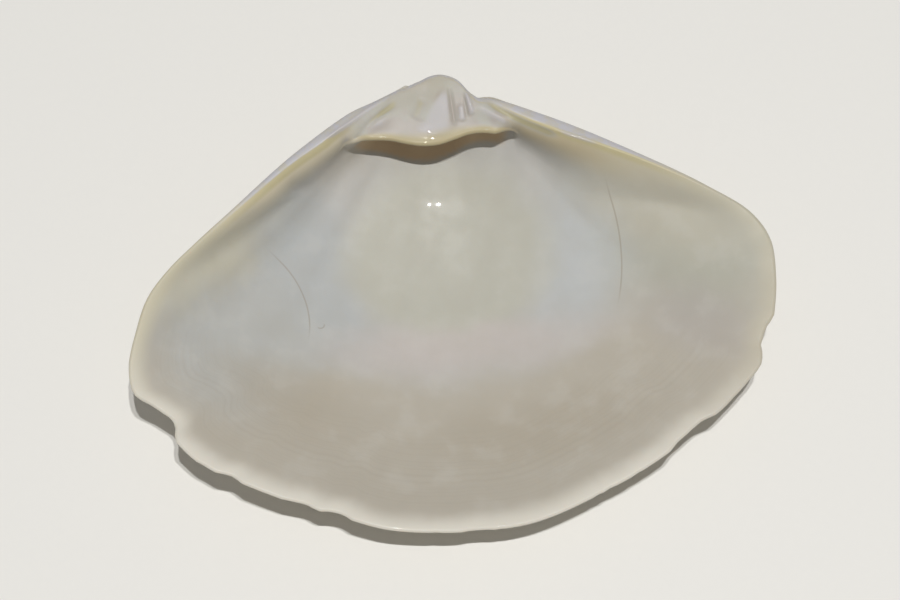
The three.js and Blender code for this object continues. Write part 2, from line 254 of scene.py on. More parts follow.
def along_ray(azimuth, dip, distance):
    return (
        CENTRE[0] + distance * np.cos(dip) * np.cos(azimuth),
        CENTRE[1] + distance * np.cos(dip) * np.sin(azimuth),
        -distance * np.sin(dip),
    )


def bisect(beyond, low, high, shape, steps=34):
    """Where beyond(value) turns positive, between low and high."""
    low, high = np.full(shape, float(low)), np.full(shape, float(high))
    for _ in range(steps):
        middle = (low + high) / 2
        past = beyond(middle) > 0
        low, high = np.where(past, low, middle), np.where(past, middle, high)
    return low


def outside_distance(azimuth, dip):
    """From CENTRE to the outside, along a ray that dips below the rim plane."""
    shape = np.broadcast(azimuth, dip).shape
    return bisect(lambda distance: beyond_outside(*along_ray(azimuth, dip, distance)), 0.5, 45, shape)


def inside_distance(azimuth, dip, wall):
    """The same to the inner surface. The wall is measured square to the outside, not along the ray."""
    distance = outside_distance(azimuth, dip)
    point = np.array(along_ray(azimuth, dip, distance))
    ray = point - np.array(along_ray(azimuth, dip, distance - 1))
    step = 0.05
    slope = np.zeros_like(point)
    for axis in range(3):
        aside = step * np.eye(3)[axis].reshape(3, *[1] * distance.ndim)
        slope[axis] = beyond_outside(*(point + aside)) - beyond_outside(*(point - aside))
    facing = (ray * slope).sum(axis=0) / np.sqrt((slope**2).sum(axis=0))
    near_plate = plate_share(azimuth) * (1 - smoothstep(dip, 0.35, 0.95))
    facing = lerp(np.maximum(facing, 0.45), 0.9, near_plate)
    at_floor, at_hinge = smoothstep(dip, 0.1, 1.2), near_plate * np.exp(point[2] / 4)
    return distance - (wall + FLOOR_EXTRA * at_floor + HINGE_EXTRA * at_hinge) / facing


def dip_at_depth(azimuth, depth):
    """The dip at which the outside lies a given depth below the rim plane."""
    shape = np.broadcast(azimuth, depth).shape
    return bisect(lambda dip: outside_distance(azimuth, dip) * np.sin(dip) - depth, 0, 1.2, shape)


def near_path(x, y, path, half_widths, squareness):
    """1 along a line of points, fading across its half width and toward its ends."""
    path = np.asarray(path, float)
    lengths = np.hypot(*np.diff(path, axis=0).T)
    nearest, share, done = np.full(x.shape, np.inf), np.zeros(x.shape), 0.0
    for start, stride, length in zip(path, np.diff(path, axis=0), lengths):
        along = np.clip(((x - start[0]) * stride[0] + (y - start[1]) * stride[1]) / length**2, 0, 1)
        away = np.hypot(x - start[0] - along * stride[0], y - start[1] - along * stride[1])
        share = np.where(away < nearest, (done + along * length) / lengths.sum(), share)
        nearest = np.minimum(nearest, away)
        done += length
    ends = smoothstep(share, 0.0, 0.3) * (1 - smoothstep(share, 0.8, 1.0))
    return ends * np.exp(-((nearest / lerp(*half_widths, share)) ** squareness))


def relief_at(x, y):
    """Height of the hinge plate's teeth, ridges and grooves above the plain plate."""
    height = np.zeros(x.shape)
    for path, half_widths, most, squareness in HINGE_RELIEF:
        height += most * near_path(x, y, path, half_widths, squareness)
    return height


def growth_ridge(size):
    """Height of the growth waves and checks of the outside."""
    reached = size * FULL_GROWN
    height = GROWTH_WAVE_HEIGHT * np.sin(FULL_TURN * reached / GROWTH_WAVE + 2.2 * np.sin(reached / 5.1))
    for halted, depth in GROWTH_HALTS:
        past = (reached - halted) / HALT_HALF_WIDTH
        height -= depth * np.exp(-(past**2)) * (1 - 0.5 * np.tanh(past))
    return height


def rim_edge(azimuth, depth):
    """(dip, distance, eased distance) of the lip's outer edge, seen from CENTRE in plan.

    The eased distance is averaged over the neighbourhood where the umbo stands out from the short slope."""
    dip = dip_at_depth(azimuth, depth)
    sharp = outside_distance(azimuth, dip) * np.cos(dip)
    middle, width = UMBO_STEP
    spread = UMBO_EASING * np.exp(-(((np.degrees(azimuth) - middle) / width) ** 2))
    nearby = azimuth + np.radians(spread * np.array((-1, -0.5, 0, 0.5, 1))[:, None])
    nearby_dip = dip_at_depth(nearby, depth)
    return dip, sharp, (outside_distance(nearby, nearby_dip) * np.cos(nearby_dip)).mean(axis=0)


def row_shares(first, stop, count):
    """first/count up to (stop - 1)/count, one for each mesh row."""
    return (np.arange(first, stop) / count)[:, None]


def hollow_rows(azimuth, wall, wall_top):
    """The hollow's floor and wall, from beside the middle of the floor to the top of the wall."""
    share = row_shares(1, ROWS["floor"] + 1, ROWS["floor"])
    dip = lerp(np.pi / 2, dip_at_depth(azimuth, wall_top), share**0.85)
    ray = inside_distance(azimuth, dip, wall)
    return ray * np.cos(dip), -ray * np.sin(dip)


def shelf_rows(azimuth, wall_end, crest, crest_height):
    """The hinge plate where it stands clear: its underside, its rounded free edge and its top."""
    middle = np.interp(azimuth, *PLATE_TABLE) + EDGE_RADIUS, crest_height - PLATE_SINK - EDGE_RADIUS
    share = row_shares(1, ROWS["underside"], ROWS["underside"])
    under = lerp(wall_end[0], middle[0], share), lerp(wall_end[1], middle[1] - EDGE_RADIUS, share**0.7)
    angle = np.pi / 2 - np.pi * row_shares(0, ROWS["edge"], ROWS["edge"])
    nose = middle[0] - EDGE_RADIUS * np.cos(angle), middle[1] - EDGE_RADIUS * np.sin(angle)
    share = row_shares(0, ROWS["shelf"], ROWS["shelf"])
    top = lerp(middle[0], crest, share), crest_height - PLATE_SINK * (1 - smoothstep(share, 0, 1))
    return [np.vstack(rows) for rows in zip(under, nose, top)]


def margin_rows(wall_end, wall_way, crest, crest_height, slope, count):
    """Elsewhere: one soft curve from the wall up to the crest."""
    reach = np.hypot(crest - wall_end[0], crest_height - wall_end[1]) / 3
    handles = (
        wall_end,
        wall_end + wall_way * reach,
        (crest - np.cos(slope) * reach, crest_height - np.sin(slope) * reach),
        (crest, crest_height),
    )
    share = row_shares(1, count + 1, count + 1) ** MARGIN_CROWDING
    weights = (1 - share) ** 3, 3 * share * (1 - share) ** 2, 3 * share**2 * (1 - share), share**3
    return [sum(weight * handle[axis] for weight, handle in zip(weights, handles)) for axis in (0, 1)]


def relief_fades(shelf_count):
    """How strongly the hinge's relief shows: on the plate's top, running out over the lip."""
    above_edge = np.arange(shelf_count) - (shelf_count - ROWS["shelf"])
    on_shelf = smoothstep(above_edge / ROWS["shelf"], 0, 0.12)
    on_lip = 1 - smoothstep(np.arange(ROWS["lip"]) / ROWS["lip"], 0.35, 1)
    return np.concatenate([np.zeros(ROWS["floor"]), on_shelf, on_lip])[:, None]


def outside_rows(azimuth, edge_dip, eased_by):
    """The grown outside, from the lip to beside its middle, and its size in each row."""
    share = row_shares(0, ROWS["outside"], ROWS["outside"])
    dip = lerp(edge_dip, np.pi / 2, share**1.25)
    ray = outside_distance(azimuth, dip)
    size = growth_size(*along_ray(azimuth, dip, ray)[1:])
    ray = ray + growth_ridge(size) * smoothstep(share, 0, 0.08)
    return ray * np.cos(dip) + eased_by * (1 - smoothstep(share, 0, 0.3)), -ray * np.sin(dip), size


def valve_rows(azimuth, wall):
    """Sections of the valve, from the floor over the rim to the outside, with a column for each azimuth.

    Returns (distance from CENTRE in plan, height, growth size, relief), with a row for each mesh row."""
    plate, upper = plate_share(azimuth), upper_share(azimuth)
    crest_height = -CHIP_FALL * chip_depth(azimuth)
    inset, drop = lip_size(azimuth)
    edge_dip, sharp_edge, edge = rim_edge(azimuth, drop - crest_height)
    crest = edge - inset

    wall_top = lerp(lerp(*WALL_TOP[:2], upper), WALL_TOP[2], plate)
    hollow = hollow_rows(azimuth, wall, wall_top - crest_height)
    wall_end, before_end = (np.array([rows[at] for rows in hollow]) for at in (-1, -3))
    wall_way = (wall_end - before_end) / np.hypot(*(wall_end - before_end))

    shelf = shelf_rows(azimuth, wall_end, crest, crest_height)
    shelf_count = len(shelf[0])
    margin = margin_rows(wall_end, wall_way, crest, crest_height, lerp(*MARGIN_SLOPE, upper), shelf_count)
    middle = [lerp(plain, shelved, plate) for plain, shelved in zip(margin, shelf)]

    angle = np.pi / 2 * row_shares(0, ROWS["lip"], ROWS["lip"])
    lip = lerp(crest, edge, np.sin(angle)), crest_height - drop * (1 - np.cos(angle))

    inner_distance, inner_height = (np.vstack(rows) for rows in zip(hollow, middle, lip))
    x, y, _ = along_ray(azimuth, 0, inner_distance)
    relief = relief_fades(shelf_count) * relief_at(x, y)

    *outside, size = outside_rows(azimuth, edge_dip, edge - sharp_edge)
    return (
        np.vstack([inner_distance, outside[0]]),
        np.vstack([inner_height + relief, outside[1]]),
        np.vstack([np.ones_like(relief), size]),
        np.vstack([relief, np.zeros_like(size)]),
    )


def with_poles(values, top, bottom):
    """The rows with one more at each end, for the middle of the floor and of the outside."""
    return np.pad(values, ((1, 1), (0, 0)), constant_values=((top, bottom), (0, 0)))


def colour_measures(azimuth, distance, height):
    """What the shell's material reads besides growth and relief, for each row and column of the mesh."""
    at_row = np.arange(len(distance))[:, None]
    edge_start = ROWS["floor"] + ROWS["underside"]
    shelf_start = edge_start + ROWS["edge"]
    outside_start = len(distance) - 1 - ROWS["outside"]
    crest_row = outside_start - ROWS["lip"] + 1

    strides = np.hypot(np.diff(distance, axis=0), np.diff(height, axis=0))
    walked = np.vstack([np.zeros((1, AROUND)), np.cumsum(strides, axis=0)])
    plate = plate_share(azimuth)
    clear = smoothstep(plate, 0.5, 1)
    behind_edge = distance - np.interp(azimuth, *PLATE_TABLE)
    on_edge = smoothstep(at_row, edge_start - 3, edge_start)
    past_edge = smoothstep(at_row, shelf_start, shelf_start + 12)
    return {
        "inner": at_row < outside_start,
        "from_crest": walked[crest_row] - walked,  # along the section, positive inward
        "plate_edge": on_edge * (1 - past_edge) * clear,
        # painted shadow: a warm tint where the plate's cast shadow falls behind its free edge
        "under_plate": smoothstep(behind_edge, 0.6, 1.1) * (at_row < edge_start) * clear,
        "plate_top": smoothstep(at_row, shelf_start, shelf_start + 6) * plate,
        "upper": smoothstep(np.sin(azimuth - 0.12), 0.12, 0.45),
    }


def laid_down(points):
    """The valve's points in its resting pose in the part's frame, with the lowest ones worn flat."""
    points = points @ np.array(REST_TILT.to_matrix()).T
    low, high = (np.array(corner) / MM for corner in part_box("valve"))
    points[:, :2] += ((low + high) / 2 - (points.min(axis=0) + points.max(axis=0)) / 2)[:2]
    points[:, 2] += low[2] - points[:, 2].min() - WORN_DEPTH
    points[:, 2] = np.maximum(points[:, 2], low[2])
    return points


def ball_mesh(rows):
    """A ball, with the row and the column of each of its points: its top is row 0."""
    ball = bmesh.new()
    bmesh.ops.create_uvsphere(ball, u_segments=AROUND, v_segments=rows, radius=1)
    mesh = bpy.data.meshes.new("valve_shell")
    ball.to_mesh(mesh)
    ball.free()
    start = np.empty(len(mesh.vertices) * 3)
    mesh.vertices.foreach_get("co", start)
    x, y, z = start.reshape(-1, 3).T
    row = np.rint(np.arccos(np.clip(z, -1, 1)) / np.pi * rows).astype(int)
    column = np.rint(np.arctan2(y, x) / FULL_TURN * AROUND).astype(int) % AROUND
    return mesh, row, column


def valve_mesh(wall):
    """A ball whose upper half is pressed down into the hollow: its top is the middle of the floor."""
    mesh, row, column = ball_mesh(sum(ROWS.values()))
    turn = np.arange(AROUND) / AROUND * FULL_TURN
    azimuth = (HINGE_AZIMUTH + turn - HINGE_CROWDING * np.sin(turn)) % FULL_TURN
    distance, height, size, relief = valve_rows(azimuth, wall)

    nowhere, straight_down = np.zeros(1), np.full(1, np.pi / 2)
    floor_top = -inside_distance(nowhere, straight_down, wall)[0]
    floor_bottom = -outside_distance(nowhere, straight_down)[0]
    size_below = growth_size(CENTRE[1], floor_bottom)
    distance = with_poles(distance, 0, 0)
    height = with_poles(height, floor_top, floor_bottom + growth_ridge(size_below))

    x, y, _ = along_ray(azimuth, 0, distance)
    points = laid_down(np.stack([x, y, height], axis=-1)[row, column])
    mesh.vertices.foreach_set("co", (points * MM).ravel())

    measures = colour_measures(azimuth, distance, height)
    measures["growth"] = with_poles(size, 1, size_below) * FULL_GROWN
    measures["relief"] = with_poles(relief, 0, 0)
    for name in MEASURES:
        attribute = mesh.attributes.new(name, "FLOAT", "POINT")
        everywhere = np.broadcast_to(measures[name], distance.shape)
        attribute.data.foreach_set("value", everywhere[row, column].astype(np.float32))
    mesh.polygons.foreach_set("use_smooth", np.ones(len(mesh.polygons), bool))
    mesh.update()
    return mesh


# ---- Materials -------------------------------------------------------------------------------------------

# Stains and layers of the inner surface: (middle, half size, turn in degrees, softness, colour, share)
# Places are millimetres in the frame of the part.
INNER_ZONES = [
    ((0.8, 7.0), (20.0, 12.6), 6, 0.22, "b9b7b3", 1.0),  # inside the pallial line: paler
    ((-15.5, 5.0), (6.0, 9.5), 25, 0.45, "aeb0af", 0.9),  # chalky flank on the short side
    ((13.2, 9.0), (5.0, 9.5), -12, 0.45, "b6b8b7", 0.9),  # and on the long side
    ((-0.9, 8.0), (10.4, 9.6), 0, 0.22, "b5b3a6", 0.9),  # cream middle
    ((1.0, -2.2), (12.5, 2.6), 4, 0.6, "beb6b0", 0.8),  # pinkish band along the pallial line
    ((-22.4, -2.4), (8.0, 8.0), 30, 0.5, "b1b1ad", 0.95),  # blue-grey muscle scar on the short side
    ((24.6, 6.4), (8.5, 6.5), -25, 0.6, "aeada0", 0.85),  # greenish one on the long side
    ((20.0, 12.0), (10.0, 4.0), -27, 0.6, "bab5a5", 0.8),  # paler shelf above it
    ((-25.5, 5.0), (9.0, 3.2), 48, 0.6, "c6c1ad", 0.75),  # and above the one on the short side
    ((24.0, -1.0), (5.0, 3.0), -30, 0.7, "aca6a0", 0.6),  # brown shade below the long side's scar
    ((7.4, -12.0), (10.0, 3.2), 8, 0.7, "aca393", 0.6),  # darker tan near the lower edge
    ((-17.0, -8.8), (7.0, 3.2), -24, 0.7, "aca393", 0.6),
]
BEAK_STAIN = (-4.2, 21.9), (4.2, 2.4), 20, 0.5  # tan patch on the beak: middle, half size, turn, softness
SLOT_PLACE = (-0.6, 19.8), (2.6, 3.2), 0, 0.3  # the slot, which is greyer than the grooves
# Brown hairlines along the muscle scars: (middle of their circle, radius, middle of the stroke, half length)
HAIRLINES = [
    ((-23.6, -0.7), 8.8, (-15.9, 3.0), 4.2),
    ((-2.1, 5.7), 19.05, (16.7, 7.7), 5.2),
    ((-13.75, -0.2), 0.42, (-13.5, -0.55), 0.45),
]
HAIRLINE_WIDTH = 0.045
HAIRLINE_SOFTNESS = 2.2  # it has faded out at this many times its width
ZONE_HEIGHT = 1000  # an oval zone takes in everything above and below it
MANTLE_LINE_SPACING = 0.45
SEASON_BAND_SPACING = 2.6
FINE_GROWTH_SPACING = 0.3
PAPER_GRAIN = 0.8
POLISH = 0.22
CHALK_ROUGHNESS = 0.72

# Lesser shades, which vary the ones in the settings
SHADES = {
    "mantle line": "978d7c", "dark mottle": "a39c8e", "pale mottle": "c9c7c0",
    "upper rim": "c1baa3", "short slope": "dbd0b6", "long slope": "c4bba2",
    # short slope is paler than the long side: painted light where its steep wall falls in shade
    "plate cloud": "b6b4ab", "beak stain": "a39b84", "slot": "a9a097",
    # plate ridge is the ridges' own white with a painted glint
    "plate hollow": "aeaaa0", "plate ridge white and painted glint": "b9b5b5",
    # under plate is a painted warm shadow below the hinge plate
    "painted shadow under plate": "c8af8b", "hairline": "8d7f6c",
    "pale band": "cfc6b2", "dark band": "b3a48c", "chalk cloud": "beb4a4",
}

# What the material reads from the mesh: inner is 1 inside and 0 outside, from_crest and growth are
# millimetres, relief is the height of the hinge's teeth, and the others are shares of a region.
MEASURES = ("inner", "from_crest", "growth", "relief", "plate_edge", "under_plate", "plate_top", "upper")


def linear(colour, alpha=1.0):
    """An sRGB hex colour such as "c3c1b6" as linear RGBA."""
    parts = [int(colour[i:i + 2], 16) / 255 for i in (0, 2, 4)]
    return (*(p / 12.92 if p <= 0.04045 else ((p + 0.055) / 1.055) ** 2.4 for p in parts), alpha)


def shade(name):
    """A lesser shade as linear RGBA."""
    return linear(SHADES[name])


def add_node(tree, kind, inputs=None, **settings):
    """A new node. Each input is linked where its value is a socket, and otherwise set to it."""
    node = tree.nodes.new(kind)
    for name, value in settings.items():
        setattr(node, name, value)
    for name, value in (inputs or {}).items():
        if isinstance(value, bpy.types.NodeSocket):
            tree.links.new(value, node.inputs[name])
        else:
            node.inputs[name].default_value = value
    return node


def product(tree, *shares):
    """Shares multiplied together. Each is a number, a socket or a soft step in a socket's value, given as
    (socket, low, high) or, where it doesn't run from 0 to 1, (socket, low, high, share at low, at high)."""
    result = None
    for share in shares:
        if isinstance(share, tuple):
            value, low, high, *ends = share
            at_low, at_high = ends or (0.0, 1.0)
            step = {0: value, 1: low, 2: high, 3: at_low, 4: at_high}
            share = add_node(tree, "ShaderNodeMapRange", step, interpolation_type="SMOOTHSTEP").outputs[0]
        if result is None:
            result = share
        else:
            factors = {0: result, 1: share}
            result = add_node(tree, "ShaderNodeMath", factors, operation="MULTIPLY").outputs[0]
    return result


def layer(tree, below, above, *shares):
    """One colour over another, by the product of its shares."""
    mixed = {0: product(tree, *shares), 6: below, 7: above}
    return add_node(tree, "ShaderNodeMix", mixed, data_type="RGBA").outputs[2]


def zone(tree, plan, middle, half_size, turn, softness):
    """1 within an oval of the plan, 0 outside it."""
    placed = {
        "Vector": plan, "Location": (*middle, 0), "Rotation": (0, 0, np.radians(turn)),
        "Scale": (*half_size, ZONE_HEIGHT),
    }
    local = add_node(tree, "ShaderNodeMapping", placed, vector_type="TEXTURE").outputs[0]
    away = add_node(tree, "ShaderNodeVectorMath", {0: local}, operation="LENGTH").outputs["Value"]
    return product(tree, (away, 1 - softness, 1 + softness, 1.0, 0.0))


def read_shell(tree):
    """Where a point of the shell is: its place in millimetres and the measures that the mesh carries."""
    place = add_node(tree, "ShaderNodeTexCoord").outputs["Object"]
    in_mm = add_node(tree, "ShaderNodeVectorMath", {0: place, "Scale": 1 / MM}, operation="SCALE").outputs[0]
    parts = add_node(tree, "ShaderNodeSeparateXYZ", {0: in_mm}).outputs
    # the edges of the inner zones wander by a millimetre or two
    clouds = add_node(tree, "ShaderNodeTexNoise", {"Vector": in_mm, "Scale": 1 / 7.0, "Detail": 3.0})
    centred = {0: clouds.outputs["Color"], 1: (0.5, 0.5, 0.5)}
    wander = add_node(tree, "ShaderNodeVectorMath", centred, operation="SUBTRACT").outputs[0]
    moved = {0: wander, 1: (4.0, 4.0, 0.0), 2: in_mm}
    wandered = add_node(tree, "ShaderNodeVectorMath", moved, operation="MULTIPLY_ADD").outputs[0]
    measures = {}
    for name in MEASURES:
        measures[name] = add_node(tree, "ShaderNodeAttribute", attribute_name=name).outputs["Fac"]
    return SimpleNamespace(in_mm=in_mm, wandered=wandered, east=parts["X"], north=parts["Y"], **measures)


def mantle_lines(tree, at):
    """Faint lines parallel to the rim, where the mantle laid down shell, and how much they show."""
    drift = add_node(tree, "ShaderNodeTexNoise", {"Vector": at.in_mm, "Scale": 1 / 9.0, "Detail": 1.0})
    drifted = {0: drift.outputs["Fac"], 1: 0.6, 2: at.from_crest}
    along = add_node(tree, "ShaderNodeMath", drifted, operation="MULTIPLY_ADD").outputs[0]
    spaced = {"W": along, "Scale": 1 / MANTLE_LINE_SPACING, "Detail": 4.0}
    lines = add_node(tree, "ShaderNodeTexNoise", spaced, noise_dimensions="1D").outputs["Fac"]
    starts, ends = (at.from_crest, 1.5, 4.0), (at.from_crest, 9.0, 14.0, 1.0, 0.0)
    return lines, product(tree, starts, ends, (at.north, -1.0, -7.0))


def hollow_colour(tree, at, colours, lines, line_share):
    """Inside: tan near the lower edge, stained in zones, with faint lines and broad mottling."""
    colour = colours.tan
    for *place, stain, share in INNER_ZONES:
        colour = layer(tree, colour, linear(stain), zone(tree, at.wandered, *place), share)
    colour = layer(tree, colour, shade("mantle line"), (lines, 0.4, 0.7, 0.0, 0.1), line_share)
    mottled = {"Vector": at.in_mm, "Scale": 1 / 3.2, "Detail": 4.0}
    mottle = add_node(tree, "ShaderNodeTexNoise", mottled).outputs["Fac"]
    colour = layer(tree, colour, shade("dark mottle"), (mottle, 0.42, 0.72, 0.0, 0.12))
    return layer(tree, colour, shade("pale mottle"), (mottle, 0.5, 0.3, 0.0, 0.16))


def rim_colour(tree, at, colours, colour):
    """The cream rim, whose inner side is uneven."""
    clouds = add_node(tree, "ShaderNodeTexNoise", {"Vector": at.in_mm, "Scale": 1 / 4.0, "Detail": 2.0})
    uneven = {0: at.from_crest, 1: clouds.outputs["Fac"]}
    from_rim = add_node(tree, "ShaderNodeMath", uneven, operation="SUBTRACT").outputs[0]
    rim = layer(tree, shade("upper rim"), colours.rim, (at.north, -2.0, -14.0))
    return layer(tree, colour, rim, (from_rim, -0.4, 1.9, 1.0, 0.0), (at.east, 18.0, 29.0, 0.95, 0.5))


def slope_colour(tree, at, colours, colour):
    """Upper slopes: olive-tan within the crest, lilac on the rounded lip beyond it, a cream line between."""
    # the short side is painted lighter: painted light over the shade on its steep wall
    slope = layer(tree, shade("short slope"), colours.slope, (at.east, -8.0, 2.0))
    slope = layer(tree, slope, shade("long slope"), (at.east, 11.0, 18.0))
    colour = layer(tree, colour, slope, at.upper, (at.from_crest, 5.2, 1.5, 0.0, 0.85))
    lip_end = product(tree, (at.east, -4.0, 3.0, 0.5, 0.2))
    within = {0: at.from_crest, 1: lip_end}
    within_lip = add_node(tree, "ShaderNodeMath", within, operation="SUBTRACT").outputs[0]
    colour = layer(tree, colour, colours.crest, at.upper, (within_lip, 0.9, 0.3, 0.0, 0.85))
    clouds = add_node(tree, "ShaderNodeTexNoise", {"Vector": at.in_mm, "Scale": 1 / 1.1, "Detail": 2.0})
    patches = (clouds.outputs["Fac"], 0.35, 0.6, 0.65, 1.0)
    return layer(tree, colour, colours.lip, at.upper, (within_lip, -0.2, -0.45), patches)


def hinge_colour(tree, at, colours, colour):
    """Hinge plate: lilac porcelain, white on its ridges with a painted glint, olive in its grooves, cream
    along its free edge, a painted warm shadow below it.
    """
    clouds = add_node(tree, "ShaderNodeTexNoise", {"Vector": at.in_mm, "Scale": 1 / 2.4, "Detail": 2.0})
    tint = layer(tree, colours.plate, shade("plate cloud"), (clouds.outputs["Fac"], 0.4, 0.65))
    tint = layer(tree, tint, shade("beak stain"), zone(tree, at.in_mm, *BEAK_STAIN), 0.5)
    colour = layer(tree, colour, tint, at.plate_top, (at.from_crest, -0.3, 0.2))
    colour = layer(tree, colour, shade("plate hollow"), (at.relief, -0.03, -0.16, 0.0, 0.8))
    # white on the ridges: partly their own colour, partly a painted glint
    colour = layer(tree, colour, shade("plate ridge white and painted glint"), (at.relief, 0.04, 0.15, 0.0, 0.8))
    groove = layer(tree, colours.groove, shade("slot"), zone(tree, at.in_mm, *SLOT_PLACE))
    colour = layer(tree, colour, groove, (at.relief, -0.1, -0.22, 0.0, 0.85))
    colour = layer(tree, colour, colours.plate_edge, at.plate_edge)
    # painted warm shadow below the plate's free edge
    return layer(tree, colour, shade("painted shadow under plate"), at.under_plate, 0.9)


def hairline_colour(tree, at, colour):
    """The brown hairlines along the muscle scars."""
    for (x, y), radius, stroke, half_length in HAIRLINES:
        flat = {0: at.in_mm, 1: (1, 1, 0), 2: (-x, -y, 0)}
        from_middle = add_node(tree, "ShaderNodeVectorMath", flat, operation="MULTIPLY_ADD").outputs[0]
        away = add_node(tree, "ShaderNodeVectorMath", {0: from_middle}, operation="LENGTH").outputs["Value"]
        past = add_node(tree, "ShaderNodeMath", {0: away, 1: radius}, operation="SUBTRACT").outputs[0]
        off_line = add_node(tree, "ShaderNodeMath", {0: past}, operation="ABSOLUTE").outputs[0]
        on_line = (off_line, HAIRLINE_WIDTH, HAIRLINE_WIDTH * HAIRLINE_SOFTNESS, 0.42, 0.0)
        on_stroke = zone(tree, at.in_mm, stroke, (half_length, half_length), 0, 0.3)
        colour = layer(tree, colour, shade("hairline"), on_line, on_stroke)
    return colour


def outside_colour(tree, at, colours):
    """Outside: chalky cream, banded by seasons."""
    spaced = {"W": at.growth, "Scale": 1 / SEASON_BAND_SPACING, "Detail": 4.0, "Roughness": 0.6}
    bands = add_node(tree, "ShaderNodeTexNoise", spaced, noise_dimensions="1D").outputs["Fac"]
    clouds = add_node(tree, "ShaderNodeTexNoise", {"Vector": at.in_mm, "Scale": 1 / 5.0, "Detail": 4.0})
    colour = layer(tree, colours.outside, shade("pale band"), (bands, 0.4, 0.62))
    colour = layer(tree, colour, shade("dark band"), (bands, 0.55, 0.72, 0.0, 0.5))
    return layer(tree, colour, shade("chalk cloud"), (clouds.outputs["Fac"], 0.5, 0.7, 0.0, 0.35))


def fine_relief(tree, at, lines, line_share):
    """Fine growth lines and chalk grains outside, faint lines and polish marks inside."""
    spaced = {"W": at.growth, "Scale": 1 / FINE_GROWTH_SPACING, "Detail": 3.0}
    growth = add_node(tree, "ShaderNodeTexNoise", spaced, noise_dimensions="1D").outputs["Fac"]
    grains = add_node(tree, "ShaderNodeTexNoise", {"Vector": at.in_mm, "Scale": 1 / 0.35, "Detail": 2.0})
    outer = {0: grains.outputs["Fac"], 1: 0.015, 2: product(tree, growth, 0.06)}
    outer_height = add_node(tree, "ShaderNodeMath", outer, operation="MULTIPLY_ADD").outputs[0]
    marks = add_node(tree, "ShaderNodeTexNoise", {"Vector": at.in_mm, "Scale": 1 / 1.6, "Detail": 3.0})
    inner = {0: marks.outputs["Fac"], 1: 0.012, 2: product(tree, lines, line_share, 0.012)}
    inner_height = add_node(tree, "ShaderNodeMath", inner, operation="MULTIPLY_ADD").outputs[0]
    sides = {0: at.inner, 2: outer_height, 3: inner_height}
    height = add_node(tree, "ShaderNodeMix", sides, data_type="FLOAT").outputs[0]
    return add_node(tree, "ShaderNodeBump", {"Height": height, "Distance": MM, "Strength": 1.0}).outputs[0]


def gloss(tree, at):
    """Roughness and weight of the polish. The inside has it, but on the hinge plate only the ridges do."""
    clouds = add_node(tree, "ShaderNodeTexNoise", {"Vector": at.in_mm, "Scale": 1 / 2.4, "Detail": 3.0})
    inner_roughness = product(tree, (clouds.outputs["Fac"], 0.35, 0.65, 0.48, 0.6))
    sides = {0: at.inner, 2: CHALK_ROUGHNESS, 3: inner_roughness}
    roughness = add_node(tree, "ShaderNodeMix", sides, data_type="FLOAT").outputs[0]
    off_plate = product(tree, (at.plate_top, 0.0, 1.0, POLISH, 0.0))
    on_ridges = product(tree, (at.relief, 0.05, 0.15, 0.0, POLISH))
    polish = add_node(tree, "ShaderNodeMath", {0: off_plate, 1: on_ridges}, operation="MAXIMUM").outputs[0]
    return roughness, product(tree, at.inner, polish)


def shell_material(colours):
    """Aragonite of a surf clam. The inside is porcelain-smooth under a thin natural polish, stained in soft
    zones; the outside is chalky, with a ridge for each spell of growth."""
    material = bpy.data.materials.new("clam_aragonite")
    material.use_nodes = True
    tree = material.node_tree
    tree.nodes.clear()
    at = read_shell(tree)

    lines, line_share = mantle_lines(tree, at)
    colour = hollow_colour(tree, at, colours, lines, line_share)
    colour = rim_colour(tree, at, colours, colour)
    colour = slope_colour(tree, at, colours, colour)
    colour = hinge_colour(tree, at, colours, colour)
    colour = hairline_colour(tree, at, colour)
    colour = layer(tree, outside_colour(tree, at, colours), colour, (at.inner, 0.2, 0.8))
    roughness, polish = gloss(tree, at)
    surface = add_node(
        tree, "ShaderNodeBsdfPrincipled",
        {
            "Base Color": colour, "Roughness": roughness, "Normal": fine_relief(tree, at, lines, line_share),
            "IOR": 1.53, "Specular IOR Level": 0.35,
            "Coat Weight": polish, "Coat IOR": 1.5, "Coat Roughness": 0.025,
            "Subsurface Weight": 0.12, "Subsurface Radius": (1.0, 0.7, 0.45), "Subsurface Scale": 0.6 * MM,
        },
    )
    add_node(tree, "ShaderNodeOutputMaterial", {"Surface": surface.outputs[0]})
    return material


def floor_material(colour):
    """Uncoated paper: matt and pale, with a faint grain."""
    material = bpy.data.materials.new("floor_paper")
    material.use_nodes = True
    tree = material.node_tree
    tree.nodes.clear()
    place = add_node(tree, "ShaderNodeTexCoord").outputs["Object"]
    grain = add_node(
        tree, "ShaderNodeTexNoise", {"Vector": place, "Scale": 1 / (PAPER_GRAIN * MM), "Detail": 2.0}
    )
    tint = add_node(tree, "ShaderNodeMapRange", {0: grain.outputs["Fac"], 3: 0.985, 4: 1.0}).outputs[0]
    paper = add_node(tree, "ShaderNodeVectorMath", {0: colour[:3], "Scale": tint}, operation="SCALE")
    surface = add_node(tree, "ShaderNodeBsdfPrincipled", {"Base Color": paper.outputs[0], "Roughness": 0.85})
    add_node(tree, "ShaderNodeOutputMaterial", {"Surface": surface.outputs[0]})
    return material


# ---- Settings, operators and panel -----------------------------------------------------------------------


def length_property(name, description, default):
    return bpy.props.FloatProperty(
        name=name, description=description, default=default, min=0.1 * MM, unit="LENGTH", precision=4
    )


def angle_property(name, description, degrees):
    return bpy.props.FloatProperty(
        name=name, description=description, default=np.radians(degrees), subtype="ANGLE"
    )


def colour_property(name, description, colour):
    return bpy.props.FloatVectorProperty(
        name=name, description=description, default=linear(colour), subtype="COLOR", size=4, min=0.0, max=1.0
    )


